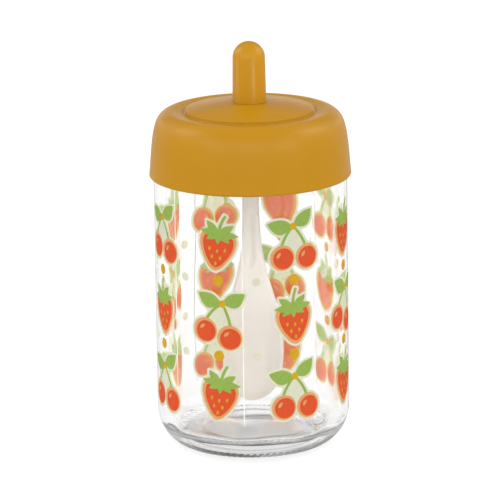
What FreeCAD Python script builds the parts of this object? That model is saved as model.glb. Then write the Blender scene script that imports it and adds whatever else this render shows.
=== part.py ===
import FreeCAD, Part
import math
import os

# Glass jar with a screw cap.  A round disc drops into the cap's top, and a
# knob through the disc carries a long white spoon that hangs in the jar.
# Millimetres, +Z up, origin at the centre of the jar's base.  The spoon's
# hollow side faces -Y.

V = FreeCAD.Vector
UP = V(0, 0, 1)
O = V(0, 0, 0)

# ---------------------------------------------------------------- dimensions
# jar, outside
JAR_R = 40.0            # body radius
HEEL_W, HEEL_H = 12.9, 15.8   # heel, a quarter ellipse: across and up
BEAR_IN, PUNT_R = 21.0, 19.4   # bearing ring inside radius, edge of the push-up
PUNT_H = 2.4            # push-up under the base
SHOULDER_Z = 114.2      # where the body steps in to the neck
NECK_R = 37.7           # neck, thread root
FINISH_R = 36.9         # neck above the thread
RIM_Z = 134.6           # top of the glass
MOUTH_R = 35.1          # mouth, inside
# jar, inside: eight shallow panels that meet in upright edges
PANELS = 8
PANEL_CORNER_R = 36.0
PANEL_MID_R = 35.72
PANEL_TURN = -95.0      # angle of one panel edge, degrees from +X
FLOOR_Z = 8.2           # inside floor at its edge
FLOOR_RISE = 1.1        # floor crown at the middle
INNER_HEEL_R = 6.0
INNER_ENV_R = 36.6

# thread
PITCH = 4.5
THREAD_TURNS = 1.05
JAR_CREST_R = 38.65
JAR_THREAD_Z = 121.5    # ridge centre at its start
CAP_CREST_R = 38.05
RIDGE_ROOT_W, RIDGE_CREST_W = 2.2, 1.2

# cap
CAP_Z = 113.5           # lower rim
LEDGE_Z = 137.2         # seat of the disc
OPENING_R = 22.0        # opening that the spoon passes through
RECESS_R = 27.45        # recess round the disc
SEAT_Z = 136.2          # ceiling over the seal
# cap outside, lower rim to the inner lip (radius, height)
CAP_OUT = [(41.62, 114.0), (41.28, 117.5), (40.97, 121.5), (40.60, 125.5), (40.12, 129.5),
           (39.60, 132.5), (38.80, 135.4), (37.72, 137.65), (36.30, 139.15), (34.90, 140.03),
           (33.60, 140.46), (32.40, 140.56), (31.20, 140.47), (30.00, 140.31), (28.90, 140.14), (28.20, 140.00), (27.75, 139.80)]
# cap inside, lower rim to the seal's ceiling
CAP_IN = [(40.38, 113.5), (40.36, 115.2), (40.02, 117.5), (39.62, 121.0), (39.30, 124.5),
          (38.95, 128.0), (38.30, 131.5), (37.60, 134.2), (37.30, 135.6), (37.25, SEAT_Z)]

# seal ring
SEAL_IN, SEAL_OUT = 34.55, 37.0
SEAL_GAP = 0.1

# disc
DISC_R = 27.3
DISC_EDGE = 1.0         # width of the round edge
DISC_DOME = 0.0047      # how fast the dome falls, per mm
DISC_TOP_Z = 144.1      # land under the knob
DISC_LAND_R = 7.6
DISC_WALL = 2.0
SKIRT_OUT, SKIRT_IN, SKIRT_Z = 21.6, 20.1, 134.2
BOSS_R, BOSS_Z = 7.8, 139.2
BUSH_R = 4.05

# knob
KNOB_BASE_R, KNOB_TOP_R = 6.95, 6.65
KNOB_Z, KNOB_TOP_Z = 144.25, 169.15
KNOB_BORE_TOP = 160.8

# spoon
SPIGOT_R, SPIGOT_TOP = 4.0, 160.2
COLLAR_R, COLLAR_Z0, COLLAR_Z1 = 6.2, 136.4, 139.0
RIM_W = 1.3             # width of the rim round the bowl
# height, half width, rim y, front middle y, back edge y, back middle y
SPOON = [
    (136.8, 3.70, -1.90, -2.30, 1.20, 2.30),
    (122.0, 3.70, -1.90, -2.30, 1.20, 2.30),
    (108.0, 3.70, -1.90, -2.30, 1.20, 2.30),
    (96.0, 3.85, -1.90, -2.25, 1.10, 2.25),
    (84.0, 4.60, -1.95, -2.00, 0.80, 2.05),
    (72.0, 6.60, -2.00, -1.50, 0.15, 1.75),
    (60.0, 9.90, -2.30, -0.90, -0.60, 1.65),
    (49.0, 12.25, -2.80, 0.15, -1.40, 2.15),
    (40.5, 13.05, -3.20, 1.25, -1.90, 2.95),
    (33.5, 12.85, -3.40, 1.95, -2.10, 3.50),
    (27.5, 11.85, -3.45, 1.60, -2.15, 3.20),
    (23.0, 9.75, -3.45, 0.45, -2.20, 2.10),
    (20.0, 7.10, -3.45, -0.95, -2.30, 0.75),
    (18.3, 4.70, -3.45, -2.05, -2.45, -0.45),
    (17.5, 3.00, -3.45, -2.85, -2.65, -1.40),
]
GROOVE_W, GROOVE_D, GROOVE_Z0, GROOVE_Z1 = 3.6, 1.5, 75.0, 98.0


# ------------------------------------------------------------------- helpers
def p(r, z):
    return V(r, 0, z)


def line(a, b):
    return Part.LineSegment(a, b).toShape()


def arc(a, m, b):
    return Part.Arc(a, m, b).toShape()


def arc_about(c, r, a0, a1):
    """Arc in the XZ plane about (r, z) = c, angles in degrees."""
    q = [p(c[0] + r * math.cos(math.radians(a)), c[1] + r * math.sin(math.radians(a)))
         for a in (a0, (a0 + a1) / 2, a1)]
    return arc(*q)


def spline(points):
    c = Part.BSplineCurve()
    c.interpolate(points)
    return c.toShape()


def turned(edges):
    """Solid of revolution of a closed outline in the XZ plane."""
    wire = Part.Wire(Part.__sortEdges__(edges))
    face = Part.Face(wire)
    solid = face.revolve(O, UP, 360)
    return Part.Solid(solid) if solid.ShapeType != "Solid" else solid


def poly(points):
    return [line(a, b) for a, b in zip(points[:-1], points[1:])]


def ridge(root_r, crest_r, z_start, angle):
    """A helical ridge of trapezium section, right handed, rising from z_start."""
    helix = Part.makeHelix(PITCH, PITCH * THREAD_TURNS, root_r)
    a, b = RIDGE_ROOT_W / 2, RIDGE_CREST_W / 2
    pts = [V(root_r, 0, -a), V(crest_r, 0, -b), V(crest_r, 0, b), V(root_r, 0, a)]
    wire = Part.makePolygon(pts + [pts[0]])
    pipe = Part.BRepOffsetAPI.MakePipeShell(helix)
    pipe.setFrenetMode(True)
    pipe.add(wire)
    pipe.build()
    pipe.makeSolid()
    s = pipe.shape()
    if s.Volume < 0:
        s.reverse()
    s.rotate(O, UP, angle)
    s.translate(V(0, 0, z_start))
    return s


def one(shape, name):
    shape = shape.removeSplitter() if name not in ("jar", "cap") else shape
    solids = shape.Solids
    assert len(solids) == 1, (name, len(solids))
    s = solids[0]
    assert s.isValid(), name
    print(name, "volume %.1f mm3" % s.Volume, "box", [round(v, 2) for v in (
        s.BoundBox.XMin, s.BoundBox.XMax, s.BoundBox.YMin, s.BoundBox.YMax, s.BoundBox.ZMin, s.BoundBox.ZMax)])
    s.exportStep(os.path.join("parts", name + ".step"))
    return s


# --------------------------------------------------------------------- parts
def make_jar():
    hc = JAR_R - HEEL_W
    sh = 1.7
    sc = JAR_R - sh
    heel = Part.Ellipse(p(hc, 0), p(JAR_R, HEEL_H), p(hc, HEEL_H))
    t0, t1 = (heel.parameter(q) for q in (p(hc, 0), p(JAR_R, HEEL_H)))
    if abs(t1 - t0) > math.pi:
        t0, t1 = (t if t < math.pi else t - 2 * math.pi for t in (t0, t1))
    edges = [
        line(p(0, 0.0), p(0, RIM_Z)),
        line(p(0, RIM_Z), p(FINISH_R - 0.9, RIM_Z)),
        arc_about((FINISH_R - 0.9, RIM_Z - 0.9), 0.9, 90, 0),
        *poly([p(FINISH_R, RIM_Z - 0.9), p(FINISH_R, 129.6), p(NECK_R, 128.6), p(NECK_R, SHOULDER_Z + sh), p(sc, SHOULDER_Z + sh)]),
        arc_about((sc, SHOULDER_Z), sh, 90, 0),
        line(p(JAR_R, SHOULDER_Z), p(JAR_R, HEEL_H)),
        Part.ArcOfEllipse(heel, min(t0, t1), max(t0, t1)).toShape(),
        line(p(hc, 0), p(0, 0)),
    ]
    body = turned(edges)
    # push-up under the base
    punt = turned([
        arc(p(0, PUNT_H), p(PUNT_R * 0.5, PUNT_H * 0.78), p(PUNT_R, 0.35)),
        arc(p(PUNT_R, 0.35), p(PUNT_R + 0.9, 0.08), p(BEAR_IN, 0)),
        line(p(BEAR_IN, 0), p(BEAR_IN, -1)),
        line(p(BEAR_IN, -1), p(0, -1)),
        line(p(0, -1), p(0, PUNT_H)),
    ])
    body = body.cut(punt)
    # inside: eight panels, round at the floor
    pts = []
    for k in range(PANELS):
        for r, t in ((PANEL_CORNER_R, 0.0), (PANEL_MID_R, 0.5)):
            a = math.radians(PANEL_TURN + 360.0 / PANELS * (k + t))
            pts.append(V(r * math.cos(a), r * math.sin(a), 0))
    pts.append(pts[0])
    wire = Part.Wire([arc(pts[2 * k], pts[2 * k + 1], pts[2 * k + 2]) for k in range(PANELS)])
    prism = Part.Face(wire).extrude(V(0, 0, 140))
    ic = INNER_ENV_R - INNER_HEEL_R
    envelope = turned([
        arc(p(0, FLOOR_Z + FLOOR_RISE), p(ic * 0.5, FLOOR_Z + FLOOR_RISE * 0.76), p(ic, FLOOR_Z)),
        arc_about((ic, FLOOR_Z + INNER_HEEL_R), INNER_HEEL_R, -90, 0),
        *poly([p(INNER_ENV_R, FLOOR_Z + INNER_HEEL_R), p(INNER_ENV_R, 122.0), p(MOUTH_R, 127.0), p(MOUTH_R, 131.0), p(0, 131.0)]),
        line(p(0, 131.0), p(0, FLOOR_Z + FLOOR_RISE)),
    ])
    hollow = prism.common(envelope)
    # mouth: round, easing into the panels, with a rounded inside lip
    mouth = turned([
        line(p(0, 123.5), p(33.5, 123.5)),
        line(p(33.5, 123.5), p(MOUTH_R, 127.6)),
        line(p(MOUTH_R, 127.6), p(MOUTH_R, RIM_Z - 0.7)),
        arc(p(MOUTH_R, RIM_Z - 0.7), p(MOUTH_R + 0.7 * (1 - math.sqrt(0.5)), RIM_Z - 0.7 * (1 - math.sqrt(0.5))), p(MOUTH_R + 0.7, RIM_Z)),
        line(p(MOUTH_R + 0.7, RIM_Z), p(MOUTH_R + 0.7, RIM_Z + 2)),
        line(p(MOUTH_R + 0.7, RIM_Z + 2), p(0, RIM_Z + 2)),
        line(p(0, RIM_Z + 2), p(0, 123.5)),
    ])
    body = body.cut(hollow.fuse(mouth))
    thread = ridge(NECK_R - 0.5, JAR_CREST_R, JAR_THREAD_Z, 0.0)
    return body.fuse(thread)


def make_cap():
    outer = [p(*q) for q in CAP_OUT]
    inner = [p(*q) for q in CAP_IN]
    rim = p(41.2, CAP_Z)
    edges = [
        spline(outer),
        arc(rim, p(41.5, CAP_Z + 0.13), outer[0]),
        line(inner[0], rim),
        spline(inner[:-1]),
        line(inner[-2], inner[-1]),
        # seal groove, rib, then the hollow under the ring and the tray
        *poly([inner[-1], p(34.3, SEAT_Z), p(34.3, 135.1), p(33.1, 135.1), p(33.1, 137.4)]),
        spline([p(33.1, 137.4), p(32.4, 138.15), p(31.4, 138.45), p(30.3, 138.0), p(29.6, 136.9)]),
        *poly([p(29.6, 136.9), p(29.6, 135.9), p(29.1, 135.4), p(OPENING_R + 0.4, 135.4), p(OPENING_R, 135.8),
               p(OPENING_R, LEDGE_Z - 0.3), p(OPENING_R + 0.3, LEDGE_Z), p(RECESS_R, LEDGE_Z), p(RECESS_R, 139.35)]),
        arc(p(RECESS_R, 139.35), p(27.53, 139.62), outer[-1]),
    ]
    body = turned(edges)
    start = JAR_THREAD_Z - PITCH / 2 - PITCH * 0.5
    thread = ridge(40.45, CAP_CREST_R, start, -180.0)
    return body.fuse(thread)


def make_seal():
    a, b = RIM_Z + SEAL_GAP, SEAT_Z - SEAL_GAP
    c = 0.35
    pts = [p(SEAL_IN + c, a), p(SEAL_OUT - c, a), p(SEAL_OUT, a + c), p(SEAL_OUT, b - c), p(SEAL_OUT - c, b),
           p(SEAL_IN + c, b), p(SEAL_IN, b - c), p(SEAL_IN, a + c), p(SEAL_IN + c, a)]
    return turned(poly(pts))


def dome_z(r, drop=0.0):
    """Height of the disc's domed top at radius r."""
    return DISC_TOP_Z - DISC_DOME * (r * r - DISC_LAND_R ** 2) - drop


def make_disc():
    edge_r = DISC_R - DISC_EDGE
    top = [p(r, dome_z(r)) for r in (DISC_LAND_R, 12, 16.5, 20.5, 23.5, edge_r)]
    # round edge, level with the dome above and upright below
    lean = math.atan(2 * DISC_DOME * edge_r)
    er = DISC_EDGE / (1 - math.sin(lean))
    ec = (DISC_R - er, dome_z(edge_r) - er * math.cos(lean))
    side = p(DISC_R, ec[1])
    under = [p(r, dome_z(r, DISC_WALL)) for r in (BOSS_R, 12, 16, SKIRT_IN)]
    foot = LEDGE_Z + 0.05
    edges = [
        line(p(BUSH_R, DISC_TOP_Z), top[0]),
        spline(top),
        arc_about(ec, er, 90 - math.degrees(lean), 0),
        *poly([side, p(DISC_R, foot + 0.3), p(DISC_R - 0.3, foot), p(25.3, foot), p(25.1, foot + 0.2), p(25.1, 138.8), p(22.0, 140.0),
               p(SKIRT_OUT, 139.6), p(SKIRT_OUT, SKIRT_Z + 0.5),
               p(SKIRT_OUT - 0.5, SKIRT_Z), p(SKIRT_IN + 0.2, SKIRT_Z), p(SKIRT_IN, SKIRT_Z + 0.2), under[-1]]),
        spline(under),
        *poly([under[0], p(BOSS_R, BOSS_Z), p(BUSH_R, BOSS_Z), p(BUSH_R, DISC_TOP_Z)]),
    ]
    return turned(edges)


def make_knob():
    zs = KNOB_TOP_Z - KNOB_TOP_R
    edges = [
        line(p(SPIGOT_R, KNOB_Z), p(KNOB_BASE_R - 0.5, KNOB_Z)),
        arc_about((KNOB_BASE_R - 0.5, KNOB_Z + 0.5), 0.5, -90, 0),
        line(p(KNOB_BASE_R, KNOB_Z + 0.5), p(KNOB_TOP_R, zs)),
        arc_about((0, zs), KNOB_TOP_R, 0, 90),
        line(p(0, KNOB_TOP_Z), p(0, KNOB_BORE_TOP)),
        line(p(0, KNOB_BORE_TOP), p(SPIGOT_R, KNOB_BORE_TOP)),
        line(p(SPIGOT_R, KNOB_BORE_TOP), p(SPIGOT_R, KNOB_Z)),
    ]
    return turned(edges)


def spoon_section(z, w, yr, yf, ye, yb):
    rim = min(RIM_W, 0.35 * w)
    wi = w - rim
    a, b = V(-wi, yr, z), V(wi, yr, z)
    c, d = V(w, ye, z), V(-w, ye, z)
    return Part.Wire([
        arc(a, V(0, yf, z), b),
        arc(b, V(w - 0.25 * rim, (yr + ye) / 2 - 0.12 * abs(ye - yr), z), c),
        arc(c, V(0, yb, z), d),
        arc(d, V(-w + 0.25 * rim, (yr + ye) / 2 - 0.12 * abs(ye - yr), z), a),
    ])


def make_spoon():
    blade = Part.makeLoft([spoon_section(*s) for s in SPOON], True, False)
    if blade.Volume < 0:
        blade.reverse()
    # grooved handle
    g0 = Part.makeBox(GROOVE_W, 4.0, GROOVE_Z1 - GROOVE_Z0, V(-GROOVE_W / 2, -4.0 - 2.3 + GROOVE_D + 0.0, GROOVE_Z0))
    g0 = g0.makeFillet(GROOVE_W / 2 - 0.05, [e for e in g0.Edges
                                           if abs(e.Vertexes[0].Z - e.Vertexes[1].Z) < 1e-6
                                           and abs(e.Vertexes[0].X - e.Vertexes[1].X) < 1e-6])
    blade = blade.cut(g0)
    collar = turned(poly([p(0, COLLAR_Z0), p(COLLAR_R - 0.6, COLLAR_Z0), p(COLLAR_R, COLLAR_Z0 + 0.6), p(COLLAR_R, COLLAR_Z1 - 0.3),
                          p(COLLAR_R - 0.3, COLLAR_Z1), p(SPIGOT_R, COLLAR_Z1), p(SPIGOT_R, SPIGOT_TOP - 0.8),
                          p(SPIGOT_R - 0.8, SPIGOT_TOP), p(0, SPIGOT_TOP), p(0, COLLAR_Z0)]))
    return blade.fuse(collar)


if __name__ == "__main__":
    os.makedirs("parts", exist_ok=True)
    one(make_jar(), "jar")
    one(make_cap(), "cap")
    one(make_seal(), "cap_seal")
    one(make_disc(), "lid_disc")
    one(make_knob(), "knob")
    one(make_spoon(), "spoon")
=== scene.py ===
import math

import bpy
import bmesh
import numpy as np
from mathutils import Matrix, Quaternion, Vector
from mathutils.geometry import delaunay_2d_cdt


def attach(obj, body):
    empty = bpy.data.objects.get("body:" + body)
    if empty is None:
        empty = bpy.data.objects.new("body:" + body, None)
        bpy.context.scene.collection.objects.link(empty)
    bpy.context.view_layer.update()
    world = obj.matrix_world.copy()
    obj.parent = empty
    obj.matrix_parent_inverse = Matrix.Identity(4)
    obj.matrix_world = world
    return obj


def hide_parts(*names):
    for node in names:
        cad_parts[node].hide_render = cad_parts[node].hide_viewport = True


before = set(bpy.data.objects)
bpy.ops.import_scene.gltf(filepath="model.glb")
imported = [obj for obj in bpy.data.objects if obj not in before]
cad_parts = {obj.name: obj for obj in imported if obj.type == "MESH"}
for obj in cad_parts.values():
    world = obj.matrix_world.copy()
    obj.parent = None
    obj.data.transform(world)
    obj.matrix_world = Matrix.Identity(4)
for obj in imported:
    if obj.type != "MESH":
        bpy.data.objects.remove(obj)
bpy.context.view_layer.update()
scene = bpy.context.scene
MM = 0.001

# Glass jar with a printed outside, a mustard screw cap, a domed disc in the
# cap's top, and a knob on the disc that carries a white spoon.  All shapes are
# given in millimetres in the part's own frame, +Z up, front towards -Y.


# =============================================================== small helpers
def natural(t, y, q):
    """Natural cubic through (t, y), t rising, read at q."""
    t, y, q = (np.asarray(a, float) for a in (t, y, q))
    n, h = len(t), np.diff(t)
    a, b = np.zeros((n, n)), np.zeros(n)
    a[0, 0] = a[-1, -1] = 1.0
    for i in range(1, n - 1):
        a[i, i - 1], a[i, i], a[i, i + 1] = h[i - 1], 2 * (h[i - 1] + h[i]), h[i]
        b[i] = 6 * ((y[i + 1] - y[i]) / h[i] - (y[i] - y[i - 1]) / h[i - 1])
    m = np.linalg.solve(a, b)
    i = np.clip(np.searchsorted(t, q, side="right") - 1, 0, n - 2)
    d, e = q - t[i], t[i + 1] - q
    return ((m[i] * e ** 3 + m[i + 1] * d ** 3) / (6 * h[i])
            + (y[i] / h[i] - m[i] * h[i] / 6) * e + (y[i + 1] / h[i] - m[i + 1] * h[i] / 6) * d)


def through(points, n):
    """n points on a smooth curve through the given ones."""
    p = np.asarray(points, float)
    t = np.concatenate([[0], np.cumsum(np.hypot(*np.diff(p, axis=0).T))])
    q = np.linspace(0, t[-1], n)
    return [(x, y) for x, y in zip(natural(t, p[:, 0], q), natural(t, p[:, 1], q))]


def arc(c, r, a0, a1, n):
    a = np.radians(np.linspace(a0, a1, n))
    return [(c[0] + r * math.cos(x), c[1] + r * math.sin(x)) for x in a]


def straight(a, b, n):
    return [(a[0] + (b[0] - a[0]) * t, a[1] + (b[1] - a[1]) * t) for t in np.linspace(0, 1, n)]


def three(a, m, b, n):
    """Arc from a to b by way of m."""
    (ax, ay), (mx, my), (bx, by) = a, m, b
    d = 2 * (ax * (my - by) + mx * (by - ay) + bx * (ay - my))
    if abs(d) < 1e-7:
        return straight(a, b, n)
    sa, sm, sb = ax * ax + ay * ay, mx * mx + my * my, bx * bx + by * by
    ux = (sa * (my - by) + sm * (by - ay) + sb * (ay - my)) / d
    uy = (sa * (bx - mx) + sm * (ax - bx) + sb * (mx - ax)) / d
    r = math.hypot(ax - ux, ay - uy)
    t0, tm, t1 = (math.atan2(y - uy, x - ux) for x, y in (a, m, b))
    turn = (t1 - t0) % (2 * math.pi)
    if (tm - t0) % (2 * math.pi) > turn:
        turn -= 2 * math.pi
    return [(ux + r * math.cos(t0 + turn * k), uy + r * math.sin(t0 + turn * k)) for k in np.linspace(0, 1, n)]


def eased(points, radius, n=4):
    """Open polyline with its inner corners rounded."""
    out = [points[0]]
    for p, c, q in zip(points[:-2], points[1:-1], points[2:]):
        p, c, q = (np.array(v, float) for v in (p, c, q))
        u, v = p - c, q - c
        lu, lv = np.linalg.norm(u), np.linalg.norm(v)
        cosang = np.clip(u @ v / (lu * lv), -1, 1)
        half = math.acos(cosang) / 2
        if half > math.radians(88):
            out.append(tuple(c))
            continue
        cut = min(radius / math.tan(half), 0.45 * lu, 0.45 * lv)
        a, b = c + u / lu * cut, c + v / lv * cut
        for k in np.linspace(0, 1, n):
            out.append(tuple((1 - k) ** 2 * a + 2 * k * (1 - k) * c + k * k * b))
    out.append(points[-1])
    return out


def chain(*runs):
    """Joins point runs end to end and drops doubled points."""
    out = []
    for r in runs:
        for p in r:
            if not out or math.hypot(p[0] - out[-1][0], p[1] - out[-1][1]) > 1e-4:
                out.append((float(p[0]), float(p[1])))
    return out


def smin(a, b, k):
    h = np.clip(0.5 + 0.5 * (b - a) / k, 0, 1)
    return b * (1 - h) + a * h - k * h * (1 - h)


def smax(a, b, k):
    return -smin(-a, -b, k)


def mesh_object(name, verts, faces, mats, index=None, sharp=40.0):
    me = bpy.data.meshes.new(name)
    me.from_pydata([tuple(v) for v in np.asarray(verts, float) * MM], [], faces)
    me.update()
    for m in mats:
        me.materials.append(m)
    if index is not None:
        me.polygons.foreach_set("material_index", np.asarray(index, np.int32))
    me.shade_smooth()
    ob = bpy.data.objects.new(name, me)
    scene.collection.objects.link(ob)
    bm = bmesh.new()
    bm.from_mesh(me)
    bmesh.ops.recalc_face_normals(bm, faces=bm.faces)
    bm.to_mesh(me)
    bm.free()
    me.shade_smooth()
    if sharp is not None:
        me.set_sharp_from_angle(angle=math.radians(sharp))
    return ob


def ring_grid(rows, cols, closed):
    """Faces of a grid of rows round the axis; closed also joins the last row to the first."""
    faces = []
    last = rows if closed else rows - 1
    for i in range(last):
        a, b = i * cols, ((i + 1) % rows) * cols
        for j in range(cols):
            k = (j + 1) % cols
            faces.append((a + j, a + k, b + k, b + j))
    return faces


def turned(name, profile, cols, mats, closed=True, shift=None, sharp=40.0, angles=None):
    """Turns a profile about the axis.  An open profile starts and ends on the axis."""
    ang = np.linspace(0, 2 * math.pi, cols, endpoint=False) if angles is None else angles
    cols = len(ang)
    prof = np.asarray(profile, float)
    if not closed:
        body = prof[1:-1]
    else:
        body = prof
    r = np.repeat(body[:, :1], cols, axis=1)
    z = np.repeat(body[:, 1:], cols, axis=1)
    if shift is not None:
        r, z = shift(r, z, ang[None, :])
    x, y = r * np.cos(ang), r * np.sin(ang)
    verts = np.stack([x, y, z], -1).reshape(-1, 3)
    faces = ring_grid(len(body), cols, closed)
    if not closed:
        n = len(verts)
        verts = np.vstack([verts, [[0, 0, prof[0, 1]], [0, 0, prof[-1, 1]]]])
        end = (len(body) - 1) * cols
        for j in range(cols):
            k = (j + 1) % cols
            faces.append((n, k, j))
            faces.append((n + 1, end + j, end + k))
    return mesh_object(name, verts, faces, mats, sharp=sharp)


# ================================================================== materials
class Nodes:
    """A node material with a Principled shader, and short calls to add nodes."""

    def __init__(self, name):
        self.mat = bpy.data.materials.new(name)
        self.mat.use_nodes = True
        self.t = self.mat.node_tree
        self.t.nodes.clear()
        self.out = self.t.nodes.new("ShaderNodeOutputMaterial")
        self.p = self.t.nodes.new("ShaderNodeBsdfPrincipled")
        self.t.links.new(self.p.outputs[0], self.out.inputs[0])
        self.co = self.t.nodes.new("ShaderNodeTexCoord").outputs["Object"]

    def set(self, **values):
        for k, v in values.items():
            self.p.inputs[k.replace("_", " ")].default_value = v
        return self

    def link(self, a, b):
        self.t.links.new(a, b)

    def noise(self, scale, detail=2.0, rough=0.5, stretch=None, distortion=0.0):
        n = self.t.nodes.new("ShaderNodeTexNoise")
        n.inputs["Scale"].default_value = scale
        n.inputs["Detail"].default_value = detail
        n.inputs["Roughness"].default_value = rough
        n.inputs["Distortion"].default_value = distortion
        co = self.co
        if stretch is not None:
            m = self.t.nodes.new("ShaderNodeMapping")
            m.inputs["Scale"].default_value = stretch
            self.link(co, m.inputs["Vector"])
            co = m.outputs[0]
        self.link(co, n.inputs["Vector"])
        return n.outputs["Fac"]

    def spread(self, value, lo, hi, out_lo, out_hi, smooth=False):
        n = self.t.nodes.new("ShaderNodeMapRange")
        n.interpolation_type = "SMOOTHSTEP" if smooth else "LINEAR"
        self.link(value, n.inputs["Value"])
        for k, v in (("From Min", lo), ("From Max", hi), ("To Min", out_lo), ("To Max", out_hi)):
            n.inputs[k].default_value = v
        return n.outputs["Result"]

    def mixed(self, fac, a, b):
        n = self.t.nodes.new("ShaderNodeMix")
        n.data_type = "RGBA"
        self.link(fac, n.inputs["Factor"])
        rgba = [s for s in n.inputs if s.type == "RGBA"]
        for socket, v in zip(rgba, (a, b)):
            if isinstance(v, tuple):
                socket.default_value = (*v, 1.0)
            else:
                self.link(v, socket)
        return [s for s in n.outputs if s.type == "RGBA"][0]

    def bump(self, height, strength, distance):
        n = self.t.nodes.new("ShaderNodeBump")
        n.inputs["Strength"].default_value = strength
        n.inputs["Distance"].default_value = distance
        self.link(height, n.inputs["Height"])
        self.link(n.outputs[0], self.p.inputs["Normal"])

    def colour(self, socket):
        self.link(socket, self.p.inputs["Base Color"])

    def rough(self, socket):
        self.link(socket, self.p.inputs["Roughness"])


def srgb(r, g, b):
    """Display colour, 0 to 255, as a linear one."""
    return tuple(c / 12.92 if c <= 0.04045 else ((c + 0.055) / 1.055) ** 2.4 for c in (r / 255, g / 255, b / 255))


def make_mustard(name, gloss, rough, tone=1.0):
    n = Nodes(name)
    n.set(Specular_IOR_Level=gloss)
    n.colour(n.mixed(n.spread(n.noise(38, 3), 0.3, 0.7, 0, 1), tuple(c * tone for c in (0.335, 0.1585, 0.0036)), tuple(c * tone for c in (0.351, 0.1665, 0.0044))))
    n.rough(n.spread(n.noise(260, 3), 0.3, 0.7, rough - 0.03, rough + 0.04))
    n.bump(n.noise(420, 2), 0.02, 0.0002)
    return n.mat


def make_glass():
    n = Nodes("clear_glass")
    n.set(Transmission_Weight=1.0, IOR=1.5, Base_Color=(1.0, 1.0, 1.0, 1.0))
    # fire-polished walls; the pressed floor inside is a little satin
    split = n.t.nodes.new("ShaderNodeSeparateXYZ")
    n.link(n.co, split.inputs[0])
    z = split.outputs[2]
    satin = n.t.nodes.new("ShaderNodeMath")
    satin.operation = "MULTIPLY"
    n.link(n.spread(z, 0.0060, 0.0072, 0.0, 1.0, True), satin.inputs[0])
    n.link(n.spread(z, 0.0096, 0.0112, 1.0, 0.0, True), satin.inputs[1])
    even = n.t.nodes.new("ShaderNodeVectorMath")
    even.operation = "LENGTH"
    flat = n.t.nodes.new("ShaderNodeMapping")
    flat.inputs["Scale"].default_value = (1.0, 1.0, 0.0)
    n.link(n.co, flat.inputs["Vector"])
    n.link(flat.outputs[0], even.inputs[0])
    inner = n.t.nodes.new("ShaderNodeMath")
    inner.operation = "MULTIPLY"
    n.link(satin.outputs[0], inner.inputs[0])
    n.link(n.spread(even.outputs["Value"], 0.0325, 0.0345, 1.0, 0.0, True), inner.inputs[1])
    level = n.t.nodes.new("ShaderNodeMath")
    level.operation = "MULTIPLY_ADD"
    n.link(inner.outputs[0], level.inputs[0])
    level.inputs[1].default_value = 0.16
    n.link(n.spread(n.noise(60, 2), 0.35, 0.75, 0.0, 0.012), level.inputs[2])
    n.rough(level.outputs[0])
    n.bump(n.noise(90, 1.0, stretch=(1.0, 1.0, 0.35)), 0.02, 0.0006)
    v = n.t.nodes.new("ShaderNodeVolumeAbsorption")
    v.inputs["Color"].default_value = (0.0, 0.02, 0.01, 1.0)
    v.inputs["Density"].default_value = 6.5
    n.link(v.outputs[0], n.out.inputs["Volume"])
    return n.mat


def make_ink(name, rgb, rough=0.42, through=0.7):
    """Ink that lets light through, as a thin printed film does."""
    n = Nodes(name)
    n.set(Specular_IOR_Level=0.35)
    tone = n.mixed(n.spread(n.noise(900, 3, 0.6), 0.3, 0.7, 0, 1), tuple(c * 0.94 for c in rgb), tuple(min(0.985, c * 1.04) for c in rgb))
    n.colour(tone)
    n.rough(n.spread(n.noise(600, 2), 0.3, 0.7, rough - 0.05, rough + 0.06))
    n.bump(n.noise(700, 2), 0.02, 0.0001)
    tr = n.t.nodes.new("ShaderNodeBsdfTranslucent")
    n.link(tone, tr.inputs["Color"])
    mix = n.t.nodes.new("ShaderNodeMixShader")
    mix.inputs[0].default_value = through
    n.link(n.p.outputs[0], mix.inputs[1])
    n.link(tr.outputs[0], mix.inputs[2])
    n.link(mix.outputs[0], n.out.inputs["Surface"])
    return n.mat


def make_spoon_plastic():
    n = Nodes("spoon_white")
    n.set(Specular_IOR_Level=0.75)
    n.colour(n.mixed(n.spread(n.noise(45, 3), 0.3, 0.7, 0, 1), srgb(245, 243, 239), srgb(249, 247, 244)))
    n.rough(n.spread(n.noise(320, 3), 0.3, 0.7, 0.36, 0.48))
    n.bump(n.noise(420, 2), 0.02, 0.0002)
    return n.mat


def make_silicone():
    n = Nodes("seal_silicone")
    n.set(Specular_IOR_Level=0.35, Subsurface_Weight=0.15, Subsurface_Scale=0.002)
    n.colour(n.mixed(n.spread(n.noise(120, 3), 0.3, 0.7, 0, 1), srgb(222, 222, 214), srgb(232, 232, 226)))
    n.rough(n.spread(n.noise(500, 3), 0.3, 0.7, 0.5, 0.62))
    n.bump(n.noise(500, 2), 0.03, 0.0002)
    return n.mat


MUSTARD_CAP = make_mustard("mustard_cap", 0.135, 0.33)
# the disc and knob take a lighter copy of the cap's mustard (tone 1.02): painted light that brightens them
MUSTARD_DISC = make_mustard("mustard_disc", 0.14, 0.33, 1.02)
MUSTARD_KNOB = make_mustard("mustard_knob", 0.155, 0.30, 1.02)
GLASS = make_glass()
WHITE = make_spoon_plastic()
SILICONE = make_silicone()


# ======================================================================== jar
PANELS, PANEL_TURN = 8, -95.0
PANEL_C, PANEL_R = 4.081, 39.801       # panel arc: centre beyond the axis, radius
COLS_PER_PANEL = 60
KNURLS = 80

jar_ang = np.radians(PANEL_TURN + np.arange(PANELS * COLS_PER_PANEL) * (360.0 / (PANELS * COLS_PER_PANEL)))


def panel_radius(phi):
    """Inside radius of the panels at angle phi."""
    step = 2 * math.pi / PANELS
    d = (phi - math.radians(PANEL_TURN)) % step - step / 2
    return -PANEL_C * np.cos(d) + np.sqrt(PANEL_R ** 2 - (PANEL_C * np.sin(d)) ** 2)


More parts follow.
